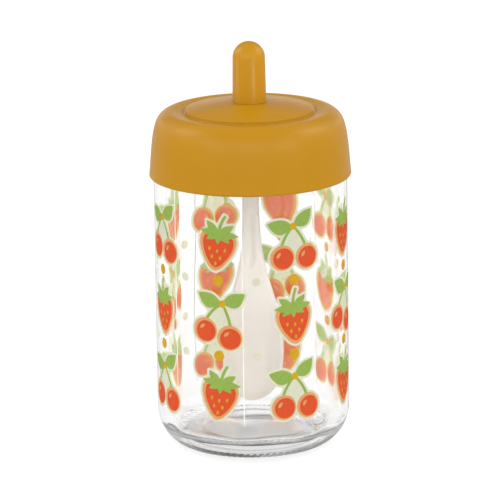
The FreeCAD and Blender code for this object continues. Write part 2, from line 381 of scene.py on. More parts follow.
def helix_height(phi, z, start_z, start_phi, turns, pitch, root_w, crest_w):
    """0 to 1: how far the thread ridge stands up at (phi, z)."""
    h = np.zeros(np.broadcast(phi, z).shape)
    for k in range(-1, 3):
        th = (phi - start_phi) % (2 * math.pi) + 2 * math.pi * k
        zc = start_z + pitch * th / (2 * math.pi)
        dz = np.abs(z - zc)
        u = np.clip((root_w / 2 - dz) / ((root_w - crest_w) / 2), 0, 1)
        u = u * u * (3 - 2 * u)
        total = turns * 2 * math.pi
        run = math.radians(14)
        fade = np.clip(th / run, 0, 1) * np.clip((total - th) / run, 0, 1)
        h = np.maximum(h, u * fade * ((th >= 0) & (th <= total)))
    return h


def build_jar():
    heel = [(27.1 + 12.9 * math.cos(a), 15.8 + 15.8 * math.sin(a)) for a in np.radians(np.concatenate([np.linspace(-90, -40, 30), np.linspace(-38, 0, 12)]))]
    outer = chain(
        [(0.0, 2.40)],
        three((0.8, 2.40), (9.7, 1.87), (19.4, 0.36), 14),
        three((19.4, 0.36), (20.2, 0.09), (21.0, 0.0), 5),
        straight((21.0, 0.0), (27.1, 0.0), 10),
        heel,
        straight((40.0, 15.8), (40.0, 114.2), 22),
        arc((38.3, 114.2), 1.7, 0, 90, 7),
        straight((38.3, 115.9), (37.7, 116.1), 3),
        straight((37.7, 116.1), (37.7, 119.8), 3),
        straight((37.7, 119.8), (37.7, 128.2), 29),
        eased([(37.7, 128.2), (37.7, 128.6), (36.9, 129.6), (36.9, 133.7)], 0.5, 4),
        arc((36.0, 133.7), 0.9, 0, 90, 7),
    )
    n_outer = len(outer)
    inner = chain(
        arc((35.8, 133.9), 0.7, 90, 180, 6),
        straight((35.1, 133.2), (35.1, 129.5), 3),
        [(36.6, z) for z in np.arange(129.0, 120.9, -0.6)],
        [(36.6, z) for z in np.arange(118.0, 19.0, -4.5)],
        [(36.6, z) for z in (18.5, 16.2)],
        arc((30.6, 14.2), 6.0, 0, -90, 22),
        three((30.6, 8.2), (15.3, 9.036), (0.9, 9.3), 14),
        [(0.0, 9.3)],
    )
    prof = np.asarray(outer + inner, float)
    body = prof[1:-1]
    ang = jar_ang
    cols = len(ang)
    r = np.repeat(body[:, :1], cols, axis=1)
    z = np.repeat(body[:, 1:], cols, axis=1)
    phi = np.repeat(ang[None, :], len(body), axis=0)
    is_in = np.zeros(len(body), bool)
    is_in[n_outer - 1 + 6:] = True
    is_in = is_in[:, None]

    # inside: panels, easing into the round mouth above and into the floor below
    rp = panel_radius(phi)
    wob = (0.10 * np.sin(3 * phi + 0.045 * z + 0.7) + 0.07 * np.sin(5 * phi - 0.11 * z + 2.1)
           + 0.05 * np.sin(2 * phi + 0.19 * z + 4.0) + 0.035 * np.sin(9 * phi + 0.07 * z))
    mouth = np.where(z > 122, 35.1 - np.clip(127.6 - z, 0, 9) * (1.6 / 4.1), 0.0)
    top = 36.6 - np.clip(z - 122.0, 0, 5) * (1.5 / 5.0)
    wall = smax(smin(rp + 0.6 * wob, np.minimum(r, top), 1.0), mouth, 0.5)
    # the panels show more at the foot, so that the floor's outline has soft corners
    side = 2 * math.pi / PANELS
    flat = 0.5 + 0.5 * np.cos((phi - math.radians(PANEL_TURN)) / side * 2 * math.pi)
    wall = wall - 0.75 * (1 - flat) * np.clip((19.0 - z) / 9.0, 0, 1)
    take = is_in & (z > 8.2) & (r > 20) & (z < 133.0)
    r = np.where(take, wall, r)
    # floor: gently uneven
    x0, y0 = r * np.cos(phi), r * np.sin(phi)
    floor = is_in & (z < 12)
    z = np.where(floor, z + (0.16 * np.sin(0.23 * x0 + 0.6) * np.cos(0.19 * y0 - 0.4) + 0.10 * np.sin(0.37 * y0 + 0.11 * x0)), z)

    # outside: thread on the neck, ticks round the bearing ring, a breath of unevenness
    neck = ~is_in & (z > 119) & (z < 129)
    ridge = helix_height(phi, z, 121.5, 0.0, 1.05, 4.5, 2.2, 1.2)
    r = np.where(neck, r + 0.95 * ridge, r)
    heel_zone = ~is_in & (z < 6.0) & (r > 20.5)
    band = 0.5 * np.exp(-((r - 25.4) / 1.4) ** 4) + np.exp(-((r - 29.7) / 2.0) ** 4) + 0.55 * np.exp(-((r - 34.0) / 1.2) ** 4)
    tick = 0.5 - 0.5 * np.cos(KNURLS * (phi - ang[0]) + math.pi / 2)
    z = np.where(heel_zone, z + 0.62 * band * tick * (0.66 + 0.34 * np.sin(11 * phi + 0.8) * np.sin(5 * phi)), z)
    body_zone = ~is_in & (z > 18) & (z < 113.5)
    r = np.where(body_zone, r - 0.02 + 0.02 * np.sin(4 * phi + 0.05 * z), r)

    x, y = r * np.cos(phi), r * np.sin(phi)
    verts = np.stack([x, y, z], -1).reshape(-1, 3)
    faces = ring_grid(len(body), cols, False)
    n = len(verts)
    z_top = z[-1].mean()
    verts = np.vstack([verts, [[0, 0, prof[0, 1]], [0, 0, z_top]]])
    end = (len(body) - 1) * cols
    for j in range(cols):
        k = (j + 1) % cols
        faces.append((n, k, j))
        faces.append((n + 1, end + j, end + k))
    ob = mesh_object("glass_jar", verts, faces, [GLASS], sharp=None)
    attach(ob, "jar")
    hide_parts("jar")
    return ob


build_jar()


# ======================================================================== cap
CAP_OUT = [(41.62, 114.0), (41.28, 117.5), (40.97, 121.5), (40.60, 125.5), (40.12, 129.5),
           (39.60, 132.5), (38.80, 135.4), (37.72, 137.65), (36.30, 139.15), (34.90, 140.03),
           (33.60, 140.46), (32.40, 140.56), (31.20, 140.44), (30.00, 140.26), (28.90, 140.12), (28.20, 140.06), (27.65, 140.03)]
CAP_IN = [(40.38, 113.5), (40.36, 115.2), (40.02, 117.5), (39.62, 121.0), (39.30, 124.5),
          (38.95, 128.0), (38.30, 131.5), (37.60, 134.2), (37.30, 135.6)]


def build_cap():
    outer = through(CAP_OUT, 74)
    t = [z for _, z in CAP_IN]
    zs = np.concatenate([np.linspace(135.6, 124.5, 12), np.linspace(124.2, 114.2, 41), [113.86]])
    inner = list(zip(natural(t, [r for r, _ in CAP_IN], zs), zs))
    under = eased([(27.45, 139.84), (27.45, 137.2), (22.0, 137.2), (22.0, 135.4), (29.6, 135.4), (29.6, 136.9)], 0.4, 5)
    hollow = through([(29.6, 136.9), (30.3, 138.0), (31.4, 138.45), (32.4, 138.15), (33.1, 137.4)], 12)
    rib = eased([(33.1, 137.4), (33.1, 135.1), (34.3, 135.1), (34.3, 136.2), (37.25, 136.2), (37.30, 135.6)], 0.25, 4)
    rim = eased([(40.37, 113.86), (40.40, 113.5), (41.25, 113.5), (41.62, 114.0)], 0.3, 5)
    prof = chain(outer, three((27.65, 140.03), (27.51, 139.97), (27.45, 139.84), 5), under, hollow, rib, inner, rim)
    if math.dist(prof[0], prof[-1]) < 1e-3:
        prof = prof[:-1]

    def shift(r, z, phi):
        inside = (r > 38.8) & (r < 40.5) & (z > 114.0) & (z < 125.0)
        h = helix_height(phi + 0 * z, z, 117.0, math.pi, 1.05, 4.5, 2.2, 1.2)
        return np.where(inside, r + (38.05 - r) * h, r), z

    ob = turned("screw_cap", prof, 320, [MUSTARD_CAP], shift=shift, sharp=50)
    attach(ob, "cap")
    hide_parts("cap")
    return ob


build_cap()


# ======================================================================= seal
def build_seal():
    pts = eased([(35.8, 134.7), (37.0, 134.7), (37.0, 136.1), (34.55, 136.1), (34.55, 134.7), (35.8, 134.7)], 0.4, 5)
    ob = turned("cap_seal_ring", chain(pts)[:-1], 192, [SILICONE], sharp=None)
    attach(ob, "seal")
    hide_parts("cap_seal")


build_seal()


# ======================================================================= disc
DISC_R, DISC_STEP, DISC_DOME, DISC_TOP_Z, DISC_LAND_R = 27.40, 26.40, 0.0047, 144.1, 7.6


def dome_z(r, drop=0.0):
    return DISC_TOP_Z - DISC_DOME * (r * r - DISC_LAND_R ** 2) - drop


def build_disc():
    edge_r = DISC_STEP - 0.65
    top = [(r, dome_z(r)) for r in np.linspace(DISC_LAND_R + 0.4, edge_r, 34)]
    land = eased([(4.05, 144.1), (DISC_LAND_R, 144.1), top[0]], 1.2, 5)
    # the dome ends in a small step, and a level brim runs on to the recess
    step = eased([top[-1], (DISC_STEP, dome_z(DISC_STEP)), (DISC_STEP + 0.06, 139.95), (27.0, 139.99)], 0.3, 7)
    brim = eased([(27.0, 139.99), (DISC_R, 140.02), (DISC_R, 139.2), (26.8, 138.2), (26.8, 137.25), (26.2, 137.25)], 0.1, 4)
    below = eased([(26.2, 137.25), (25.1, 137.25), (25.1, 138.8), (21.6, 140.1), (21.6, 134.2), (20.1, 134.2), (20.1, dome_z(20.1, 2.0))], 0.35, 5)
    under = [(r, dome_z(r, 2.0)) for r in np.linspace(20.1, 7.8, 20)]
    boss = eased([(7.8, dome_z(7.8, 2.0)), (7.8, 139.2), (4.05, 139.2), (4.05, 144.1)], 0.3, 4)
    prof = chain(land, top, step, brim, below, under, boss)
    if math.dist(prof[0], prof[-1]) < 1e-3:
        prof = prof[:-1]
    ob = turned("domed_disc", prof, 256, [MUSTARD_DISC], sharp=50)
    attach(ob, "disc")
    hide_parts("lid_disc")


build_disc()


# ======================================================================= knob
def build_knob():
    zs = 169.15 - 6.65
    prof = chain(
        arc((0, zs), 6.65, 90, 0, 30),
        straight((6.65, zs), (6.947, 144.36), 14),
        [(6.949, 144.28), (6.95, 144.20)],
        arc((6.87, 144.20), 0.08, 0, -90, 4),
        eased([(6.87, 144.12), (4.0, 144.12), (4.0, 160.8), (0.0, 160.8)], 0.2, 4),
    )
    prof[0] = (0.0, 169.15)
    ob = turned("grip_knob", prof, 128, [MUSTARD_KNOB], closed=False, sharp=50)
    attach(ob, "spoon")
    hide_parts("knob")


build_knob()


# ====================================================================== spoon
SPOON = np.array([
    (136.8, 3.70, -1.90, -2.30, 1.20, 2.30),
    (122.0, 3.70, -1.90, -2.30, 1.20, 2.30),
    (108.0, 3.70, -1.90, -2.30, 1.20, 2.30),
    (96.0, 3.85, -1.90, -2.25, 1.10, 2.25),
    (84.0, 4.60, -1.95, -2.00, 0.80, 2.05),
    (72.0, 6.60, -2.00, -1.50, 0.15, 1.75),
    (60.0, 9.90, -2.35, -0.85, -0.60, 1.65),
    (49.0, 12.25, -3.00, 0.60, -1.45, 2.15),
    (40.5, 13.05, -3.60, 1.95, -1.95, 2.95),
    (33.5, 12.85, -3.85, 2.60, -2.15, 3.50),
    (27.5, 11.85, -3.90, 2.25, -2.20, 3.20),
    (23.0, 9.75, -3.85, 1.05, -2.25, 2.10),
    (20.0, 7.10, -3.70, -0.55, -2.35, 0.75),
    (18.3, 4.70, -3.45, -2.05, -2.45, -0.45),
    (17.5, 3.00, -3.45, -2.85, -2.65, -1.40),
])[::-1]


def spoon_section(z):
    """Closed outline of the blade at height z, evenly spaced and a little rounded."""
    w, yr, yf, ye, yb = (float(natural(SPOON[:, 0], SPOON[:, i], [z])[0]) for i in range(1, 6))
    if z < 20.0:
        w = math.sqrt(max(1e-4, 50.4 * (z - 17.5) / 2.5))
    rim = min(1.3, 0.35 * w)
    wi = w - rim
    mid = (yr + ye) / 2 - 0.12 * abs(ye - yr)
    n = 25
    a, b, c, d = (-wi, yr), (wi, yr), (w, ye), (-w, ye)
    # the hollow has a flat floor and steep sides towards the bowl
    power = 2.0 + 1.6 * min(1.0, max(0.0, (62.0 - z) / 16.0))
    front = [(wi * t, yr + (yf - yr) * (1 - abs(t) ** power)) for t in np.linspace(-1, 1, n)]
    pts = chain(front, three(b, (w - 0.25 * rim, mid), c, 7), three(c, (0, yb), d, n),
                three(d, (-w + 0.25 * rim, mid), a, 7))
    p = np.array(pts)
    if np.hypot(*(p[0] - p[-1])) < 1e-3:
        p = p[:-1]
    q = np.vstack([p, p[:1]])
    s = np.concatenate([[0], np.cumsum(np.hypot(*np.diff(q, axis=0).T))])
    m = 96
    t = np.linspace(0, s[-1], m, endpoint=False)
    # start each outline at the middle of its front, so that the rows line up
    t = (t + np.interp(0.0, q[:n, 0], s[:n])) % s[-1]
    p = np.stack([np.interp(t, s, q[:, 0]), np.interp(t, s, q[:, 1])], -1)
    for _ in range(3):
        p = 0.5 * p + 0.25 * (np.roll(p, 1, 0) + np.roll(p, -1, 0))
    return p


def build_spoon():
    zs = np.concatenate([17.5 + 2.5 * np.linspace(0.10, 1.0, 12) ** 2, np.linspace(20.6, 98.0, 110), np.linspace(99.0, 136.8, 20)])
    rows, cols = len(zs), 96
    verts = []
    for z in zs:
        p = spoon_section(z)
        # grooved grip: a round-bottomed channel in the front of the stem
        lo, hi, half, deep = 74.0, 99.0, 2.2, 1.5
        end = min(1.0, max(0.0, min(z - lo, hi - z) / 3.4))
        if end > 0:
            width = half * math.sqrt(max(0.0, 1 - (1 - end) ** 2))
            for q in p:
                if q[1] < 0 and abs(q[0]) < width + 0.45:
                    u = 0.5 + 0.5 * math.cos(math.pi * abs(q[0]) / (width + 0.45))
                    q[1] += deep * u * min(1.0, end * 1.2)
        verts.append(np.column_stack([p, np.full(cols, z)]))
    verts = np.vstack(verts)
    faces = ring_grid(rows, cols, False)
    n = len(verts)
    verts = np.vstack([verts, [[0, verts[:cols, 1].mean(), 17.5], [0, verts[-cols:, 1].mean(), 136.8]]])
    end = (rows - 1) * cols
    for j in range(cols):
        k = (j + 1) % cols
        faces.append((n, k, j))
        faces.append((n + 1, end + j, end + k))
    # collar and spigot above the blade
    prof = chain([(0.0, 136.4)], eased([(0.6, 136.4), (6.2, 136.4), (6.2, 139.0), (4.0, 139.0), (4.0, 160.2), (0.6, 160.2)], 0.5, 5), [(0.0, 160.2)])
    ang = np.linspace(0, 2 * math.pi, 96, endpoint=False)
    pr = np.array(prof)[1:-1]
    base = len(verts)
    ring = np.stack([pr[:, :1] * np.cos(ang), pr[:, :1] * np.sin(ang), np.repeat(pr[:, 1:], 96, 1)], -1).reshape(-1, 3)
    verts = np.vstack([verts, ring, [[0, 0, 136.4], [0, 0, 160.2]]])
    faces += [tuple(base + v for v in f) for f in ring_grid(len(pr), 96, False)]
    n = base + len(ring)
    end = base + (len(pr) - 1) * 96
    for j in range(96):
        k = (j + 1) % 96
        faces.append((n, base + k, base + j))
        faces.append((n + 1, end + j, end + k))
    ob = mesh_object("long_spoon", verts, faces, [WHITE], sharp=55)
    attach(ob, "spoon")
    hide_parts("spoon")


build_spoon()


# ====================================================================== print
# Cherry pairs and strawberries in ink on the outside of the glass, with a pale
# edge round each, and dots between.  Each motif is one thin slab that follows the
# glass, cut into its colours, on a white under-layer that shows from inside.
# the last ink is no print: it paints pale highlight lines on the glass
INKS = ["edge", "peach", "coral", "leaf", "mustard", "under", "under_warm", "painted_panel_glint"]
INK = {"edge": (0.955, 0.985, 0.85), "peach": (0.985, 0.585, 0.275), "coral": (0.97, 0.150, 0.056),
       "leaf": (0.43, 0.64, 0.145), "mustard": (0.87, 0.59, 0.030), "under": (0.95, 0.93, 0.70), "under_warm": (0.95, 0.68, 0.11),
       "painted_panel_glint": (0.93, 0.93, 0.91)}
UNDER = [INKS.index("under_warm" if k in ("peach", "coral", "mustard") else "under") for k in INKS]
ink_mats = [make_ink("ink_" + k, INK[k], through=0.88 if k.startswith("under") else 0.3 if k == "painted_panel_glint" else 0.7) for k in INKS]


def disc_pts(cx, cy, r, n=44, squash=1.0, turn=0.0):
    a = np.linspace(0, 2 * math.pi, n, endpoint=False)
    x, y = r * np.cos(a), r * squash * np.sin(a)
    c, s = math.cos(turn), math.sin(turn)
    return np.column_stack([cx + c * x - s * y, cy + s * x + c * y])


def leaf_pts(a, b, w, bend=0.0, n=18):
    """A pointed leaf from a to b, w wide, its middle pushed sideways by bend."""
    a, b = np.array(a, float), np.array(b, float)
    d = b - a
    nrm = np.array([-d[1], d[0]]) / np.linalg.norm(d)
    t = np.linspace(0, 1, n)
    prof = np.sin(math.pi * t ** 0.9) ** 0.92 * w / 2
    mid = a + t[:, None] * d + (4 * t * (1 - t) * bend)[:, None] * nrm
    return np.vstack([mid + prof[:, None] * nrm, (mid - prof[:, None] * nrm)[-2:0:-1]])


def stroke_pts(a, c, b, w0, w1, n=16):
    """A tapering curved stroke from a to b, pulled towards c."""
    a, c, b = (np.array(v, float) for v in (a, c, b))
    t = np.linspace(0, 1, n)[:, None]
    p = (1 - t) ** 2 * a + 2 * t * (1 - t) * c + t * t * b
    d = 2 * (1 - t) * (c - a) + 2 * t * (b - c)
    nrm = np.column_stack([-d[:, 1], d[:, 0]]) / np.linalg.norm(d, axis=1)[:, None]
    w = (w0 + (w1 - w0) * t) / 2
    return np.vstack([p + nrm * w, (p - nrm * w)[::-1]])


def signed_distance(poly, pts):
    """Distance from pts to a polygon's outline, negative inside."""
    a, b = poly, np.roll(poly, -1, 0)
    best = np.full(len(pts), 1e9)
    inside = np.zeros(len(pts), bool)
    for p, q in zip(a, b):
        e, w = q - p, pts - p
        t = np.clip((w @ e) / max(e @ e, 1e-12), 0, 1)
        best = np.minimum(best, np.hypot(*(w - t[:, None] * e).T))
        hit = ((p[1] > pts[:, 1]) != (q[1] > pts[:, 1]))
        if abs(q[1] - p[1]) > 1e-12:
            inside ^= hit & (pts[:, 0] < (q[0] - p[0]) * (pts[:, 1] - p[1]) / (q[1] - p[1]) + p[0])
    return np.where(inside, -best, best)


def outline(polys, grow, step=0.22):
    """Outer outline of all the polygons together, grown by that much."""
    allp = np.vstack(polys)
    lo, hi = allp.min(0) - grow - 4 * step, allp.max(0) + grow + 4 * step
    xs, ys = np.arange(lo[0], hi[0], step), np.arange(lo[1], hi[1], step)
    gx, gy = np.meshgrid(xs, ys)
    pts = np.column_stack([gx.ravel(), gy.ravel()])
    f = np.full(len(pts), 1e9)
    for p in polys:
        f = smin(f, signed_distance(p, pts), 0.5) if f.min() < 1e8 else signed_distance(p, pts)
    f = f.reshape(gx.shape) - grow
    def cut(i0, j0, i1, j1):
        a, b = f[j0, i0], f[j1, i1]
        t = a / (a - b)
        return (xs[i0] + (xs[i1] - xs[i0]) * t, ys[j0] + (ys[j1] - ys[j0]) * t)

    # walk the cells that the outline crosses
    inside = f < 0
    links = {}
    places = {}
    for j in range(len(ys) - 1):
        row = inside[j:j + 2]
        for i in np.nonzero((row[0, :-1] != row[0, 1:]) | (row[1, :-1] != row[1, 1:]) | (row[0, :-1] != row[1, :-1]))[0]:
            c = [(i, j), (i + 1, j), (i + 1, j + 1), (i, j + 1)]
            ends = []
            for k in range(4):
                p, q = c[k], c[(k + 1) % 4]
                if inside[p[1], p[0]] != inside[q[1], q[0]]:
                    key = (min(p, q), max(p, q))
                    if key not in places:
                        places[key] = cut(*key[0], *key[1])
                    ends.append(key)
            for k in range(0, len(ends) - 1, 2):
                links.setdefault(ends[k], []).append(ends[k + 1])
                links.setdefault(ends[k + 1], []).append(ends[k])
    loops, seen = [], set()
    for start in sorted(links):
        if start in seen:
            continue
        loop, here, came = [], start, None
        while here not in seen:
            seen.add(here)
            loop.append(places[here])
            ahead = [k for k in links[here] if k != came and k not in seen]
            if not ahead:
                break
            came, here = here, ahead[0]
        loops.append(np.array(loop))

    def area(p):
        q = np.roll(p, -1, 0)
        return 0.5 * abs(np.sum(p[:, 0] * q[:, 1] - q[:, 0] * p[:, 1]))

    p = max(loops, key=area)
    for _ in range(3):
        p = 0.5 * p + 0.25 * (np.roll(p, 1, 0) + np.roll(p, -1, 0))
    return p[::2]


def inside_by(poly, pts, gap):
    return signed_distance(poly, pts) < -gap


class Motif:
    """Flat shapes laid over each other, cut into one set of faces that don't overlap."""

    def __init__(self, shapes, grow=0.85, cell=1.15):
        shapes = [(np.asarray(p, float), ink, layer) for p, ink, layer in shapes]
        if grow:
            shapes = [(outline([p for p, ink, layer in shapes if layer == 1], grow), "edge", 0)] + shapes
        verts, faces = [], []
        for p, ink, layer in shapes:
            q = np.roll(p, -1, 0)
            if np.sum(p[:, 0] * q[:, 1] - q[:, 0] * p[:, 1]) < 0:
                p = p[::-1]
            faces.append(list(range(len(verts), len(verts) + len(p))))
            verts += [tuple(v) for v in p]
        # a loose grid of points inside, so that the faces can follow the glass
        whole = [p for p, ink, layer in shapes if layer == (0 if grow else 1)][0]
        lo, hi = whole.min(0), whole.max(0)
        gx, gy = np.meshgrid(np.arange(lo[0], hi[0], cell), np.arange(lo[1], hi[1], cell))
        gx = gx + (np.arange(gx.shape[0])[:, None] % 2) * cell / 2
        pts = np.column_stack([gx.ravel(), gy.ravel()])
        pts = pts[inside_by(whole, pts, 0.4)]
        for p, ink, layer in shapes[1:]:
            pts = pts[np.abs(signed_distance(p, pts)) > 0.3]
        verts += [tuple(v) for v in pts]
        v, e, f, ov, oe, of = delaunay_2d_cdt([Vector(p) for p in verts], [], faces, 1, 1e-5)
        self.v = np.array([tuple(p) for p in v])
        self.faces, self.ink = [], []
        count = {}
        for tri, owners in zip(f, of):
            if not owners:
                continue
            best = max(owners, key=lambda k: (shapes[k][2], k))
            self.faces.append(list(tri))
            self.ink.append(INKS.index(shapes[best][1]))
            for a, b in zip(tri, list(tri[1:]) + [tri[0]]):
                count[(a, b)] = self.ink[-1]
        self.rim = [(a, b, k) for (a, b), k in count.items() if (b, a) not in count]


def cherry_shapes():
    s = []
    j = (0.8, 5.6)
    left, right = (-4.7, -4.9), (4.6, -6.3)
    s.append((leaf_pts((0.4, 5.6), (-8.6, 8.2), 5.4, 0.8), "leaf", 1))
    s.append((leaf_pts((1.0, 5.9), (8.6, 10.2), 5.2, -0.8), "leaf", 1))
    s.append((stroke_pts(j, (-2.8, 3.2), (left[0] + 0.2, left[1] + 4.1), 0.95, 1.05), "leaf", 1))
    s.append((stroke_pts(j, (3.5, 1.8), (right[0] - 0.1, right[1] + 4.1), 0.95, 1.05), "leaf", 1))
    for cx, cy in (left, right):
        s.append((disc_pts(cx, cy, 4.55), "peach", 1))
        s.append((disc_pts(cx + 0.3, cy - 0.3, 3.75), "coral", 2))
        s.append((disc_pts(cx - 1.25, cy + 1.15, 1.1, 24, 0.5, math.radians(48)), "peach", 3))
    s.append((disc_pts(j[0], j[1], 1.3, 28), "mustard", 2))
    return s


def berry_shapes():
    s = []
    half = np.array([(0.0, 4.1), (2.6, 5.0), (5.2, 4.3), (6.7, 1.9), (6.5, -1.3), (5.2, -4.6), (3.2, -7.6), (1.3, -9.4), (0.0, -9.9)])

    def body(k, dx, dy):
        right = np.array(through(half, 26))
        p = np.vstack([right, (right * [-1, 1])[-2:0:-1]])
        return p * k + [dx, dy]

    s.append((body(1.0, 0, 0), "peach", 1))
    s.append((body(0.84, 0.15, -0.35), "coral", 2))
    s.append((stroke_pts((0.0, 4.4), (0.2, 7.6), (1.7, 10.4), 1.2, 1.0), "leaf", 1))
    for tip, w, bend in (((-7.2, 3.9), 2.7, 0.9), ((-4.3, 0.9), 2.7, 0.5), ((0.0, -0.2), 2.6, 0.0), ((4.3, 0.9), 2.7, -0.5), ((7.2, 3.9), 2.7, -0.9)):
        s.append((leaf_pts((0.0, 5.3), tip, w, bend), "leaf", 4))
    s.append((leaf_pts((-0.5, 5.0), (-5.0, 7.6), 2.6, 0.6), "leaf", 1))
    s.append((leaf_pts((0.5, 5.0), (5.0, 7.4), 2.6, -0.6), "leaf", 1))
    for x, y in ((-2.7, -2.2), (0.2, -2.7), (3.0, -2.0), (-1.5, -4.9), (1.6, -5.0), (0.1, -7.2)):
        s.append((disc_pts(x, y, 0.72, 16, 0.62, math.radians(90)), "mustard", 3))
    return s


def build_print():
    cherry, berry = Motif(cherry_shapes()), Motif(berry_shapes())
    dot, pale = Motif([(disc_pts(0, 0, 2.2, 36), "mustard", 1)], 0), Motif([(disc_pts(0, 0, 1.8, 30), "edge", 1)], 0)
    places = []
    cols = 8
    for k in range(cols):
        a = -90.0 + 360.0 / cols * (k + 0.5) + 2.5
        for row, z in enumerate((30.5, 62.0, 93.5)):
            kind = cherry if (k + row) % 2 == 0 else berry
            tilt = (7, -6, 5, -8)[(k + 2 * row) % 4]
            places.append((kind, a, z, tilt))
        for z in (46.4, 77.9):
            places.append((dot, a, z, 0))
            places.append((pale, a + 180.0 / cols, z, 0))
    # painted highlight: a pale hair line every 45 degrees over the corners of the panels inside, standing in for the
    # glass's own edge lines
    hair = Motif([(np.array([(-0.17, -47.5), (0.17, -47.5), (0.17, 47.5), (-0.17, 47.5)]), "painted_panel_glint", 1)], 0)
    places += [(hair, -95.5 + 45.0 * k, 64.5, 0) for k in range(8)]
    verts, faces, index = [], [], []
    base = 0
    R0, lo, hi = 40.0, 0.05, 0.10
    for m, a, z, tilt in places:
        size = 1.16 if m in (cherry, berry) else 1.0
        c, s = size * math.cos(math.radians(tilt)), size * math.sin(math.radians(tilt))
        u = c * m.v[:, 0] - s * m.v[:, 1]
        h = s * m.v[:, 0] + c * m.v[:, 1]
        ang = math.radians(a) + u / R0
        n = len(m.v)
        for w in ((0.036, 0.012) if m is hair else (hi, lo)):
            verts.append(np.column_stack([(R0 + w) * np.cos(ang), (R0 + w) * np.sin(ang), z + h]))
        for f, ink in zip(m.faces, m.ink):
            faces.append(tuple(base + i for i in f))
            faces.append(tuple(base + n + i for i in reversed(f)))
            index += [ink, UNDER[ink]]
        for p, q, ink in m.rim:
            faces.append((base + q, base + p, base + n + p, base + n + q))
            index.append(ink)
        base += 2 * n
    ob = mesh_object("jar_print", np.vstack(verts), faces, ink_mats, index, sharp=30)
    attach(ob, "jar")
    return ob


build_print()


# ============================================================ floor and lights
def build_floor():
    me = bpy.data.meshes.new("floor")
    s = 9.0
    me.from_pydata([(-s, -s, -0.0001), (s, -s, -0.0001), (s, s, -0.0001), (-s, s, -0.0001)], [], [(0, 1, 2, 3)])
    n = Nodes("pale_floor")
    n.set(Specular_IOR_Level=0.2, Emission_Color=(1.0, 1.0, 1.0, 1.0))
    far = n.t.nodes.new("ShaderNodeVectorMath")
    far.operation = "LENGTH"
    n.link(n.co, far.inputs[0])
    # the table glows softly, with painted shade and light laid into its glow: a painted shadow under the jar, darkest
    # in a ring under its front edge where it stands, painted light round its foot, and painted light under its back
    split = n.t.nodes.new("ShaderNodeSeparateXYZ")
    n.link(n.co, split.inputs[0])
    r = far.outputs["Value"]

    def op(kind, a, b):
        m = n.t.nodes.new("ShaderNodeMath")
        m.operation = kind
        n.link(a, m.inputs[0])
        n.link(b, m.inputs[1])
        return m.outputs[0]

    # painted shadow: a ring under the jar's front edge, darkest towards the front
    ring = op("MULTIPLY", n.spread(r, 0.0185, 0.0205, 0.0, 1.0, True), n.spread(r, 0.0225, 0.0245, 1.0, 0.0, True))
    dark = op("MULTIPLY", ring, n.spread(split.outputs[1], -0.016, 0.002, 0.42, 0.0, True))
    # painted shade under the jar, and painted light round its foot that lifts the shadow there
    glow_with_painted_shade = op("ADD", n.spread(r, 0.0255, 0.0285, 0.57, 0.72, True), n.spread(r, 0.06, 0.40, 0.0, 0.05, True))
    glow_with_painted_shade = op("ADD", glow_with_painted_shade, n.spread(r, 0.045, 0.090, 0.0, -0.10, True))
    # painted light under the back of the jar
    painted_light_behind = op("MULTIPLY", n.spread(split.outputs[1], 0.0, 0.014, 0.0, 0.30, True), n.spread(r, 0.031, 0.037, 1.0, 0.0, True))
    glow_with_painted_shade = op("ADD", glow_with_painted_shade, painted_light_behind)
    n.link(op("SUBTRACT", glow_with_painted_shade, dark), n.p.inputs["Emission Strength"])
    n.colour(n.mixed(n.spread(n.noise(3, 2), 0.3, 0.7, 0, 1), (0.29, 0.29, 0.29), (0.31, 0.31, 0.31)))
    n.rough(n.spread(n.noise(40, 2), 0.3, 0.7, 0.6, 0.7))
    me.materials.append(n.mat)
    ob = bpy.data.objects.new("floor", me)
    scene.collection.objects.link(ob)
    ob.visible_glossy = False


build_floor()


def build_world():
    w = bpy.data.worlds.new("studio")
    scene.world = w
    w.use_nodes = True
    t = w.node_tree
    t.nodes.clear()
    out = t.nodes.new("ShaderNodeOutputWorld")
    bg = t.nodes.new("ShaderNodeBackground")
    t.links.new(bg.outputs[0], out.inputs[0])
    co = t.nodes.new("ShaderNodeTexCoord").outputs["Generated"]
    sep = t.nodes.new("ShaderNodeSeparateXYZ")
    t.links.new(co, sep.inputs[0])

    def ranged(v, lo, hi, a, b):
        n = t.nodes.new("ShaderNodeMapRange")
        n.interpolation_type = "SMOOTHSTEP"
        t.links.new(v, n.inputs["Value"])
        for k, x in (("From Min", lo), ("From Max", hi), ("To Min", a), ("To Max", b)):
            n.inputs[k].default_value = x
        return n.outputs["Result"]

    def op(kind, a, b):
        n = t.nodes.new("ShaderNodeMath")
        n.operation = kind
        for s, v in zip(n.inputs, (a, b)):
            if isinstance(v, (int, float)):
                s.default_value = v
            else:
                t.links.new(v, s)
        return n.outputs[0]

    x, y, z = sep.outputs
    back = ranged(y, 0.0, 0.6, 0.0, 1.0)
    # bright all round, most at the front and least overhead; the table is dim in reflections from the front
    front = ranged(y, -0.55, 0.0, 1.0, 0.0)
    low = ranged(z, 0.10, 0.48, 1.0, 0.0)
    above = op("ADD", 1.00, op("MULTIPLY", op("MULTIPLY", back, ranged(z, 0.30, 0.50, 1.0, 0.0)), 0.30))
    above = op("ADD", above, op("MULTIPLY", front, op("MULTIPLY", low, 0.20)))
    above = op("SUBTRACT", above, ranged(z, 0.45, 0.95, 0.0, 0.15))
    below = op("ADD", 0.48, op("MULTIPLY", ranged(y, 0.1, 0.6, 0.0, 1.0), 0.17))
    level = op("ADD", below, op("MULTIPLY", ranged(z, 0.03, 0.09, 0.0, 1.0), op("SUBTRACT", above, below)))
    t.links.new(level, bg.inputs["Strength"])
    bg.inputs["Color"].default_value = (1.0, 1.0, 1.0, 1.0)


build_world()


